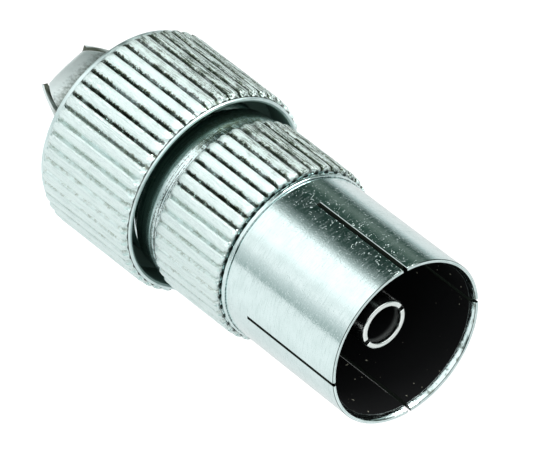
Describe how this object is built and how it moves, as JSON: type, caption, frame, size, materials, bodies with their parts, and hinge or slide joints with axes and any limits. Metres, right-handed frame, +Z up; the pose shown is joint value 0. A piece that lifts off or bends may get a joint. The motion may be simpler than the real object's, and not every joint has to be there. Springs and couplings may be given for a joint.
{
  "type": "coaxial socket",
  "caption": "Coaxial aerial socket: slotted sleeve round a split centre contact, knurled body and a screw nut that clamps the cable claw.",
  "frame": {"origin": "centre of the mating face, the front edge of the slotted sleeve", "axes": "+X along the socket's axis and out of its mouth, +Z up, with the socket lying on its side"},
  "size_m": [0.0289, 0.0126, 0.0126],
  "materials": {
    "shell_nickel": "bright nickel plate on turned brass",
    "insulator_polymer": "dark moulded",
    "contact_plate": "bright plate on turned brass",
    "claw_plate": "satin nickel plate on brass",
    "nut_nickel": "bright nickel plate on turned brass"
  },
  "bodies": {
    "shell": {"socket_shell": "shell_nickel", "insulator": "insulator_polymer", "centre_contact": "contact_plate"},
    "claw": {"cable_claw": "claw_plate"},
    "nut": {"clamp_nut": "nut_nickel"}
  },
  "joints": [
    {"name": "claw_slide", "type": "slide", "parent": "shell", "child": "claw", "axis": [1, 0, 0], "range_m": [-0.0023, 0.0013]},
    {"name": "nut_turn", "type": "hinge", "parent": "claw", "child": "nut", "pos_m": [-0.02, 0, 0], "axis": [1, 0, 0], "range_deg": [-1080, 600]}
  ],
  "couplings": [
    {"joint": "claw_slide", "follows": "nut_turn", "m_per_rad": 0.00011937}
  ]
}
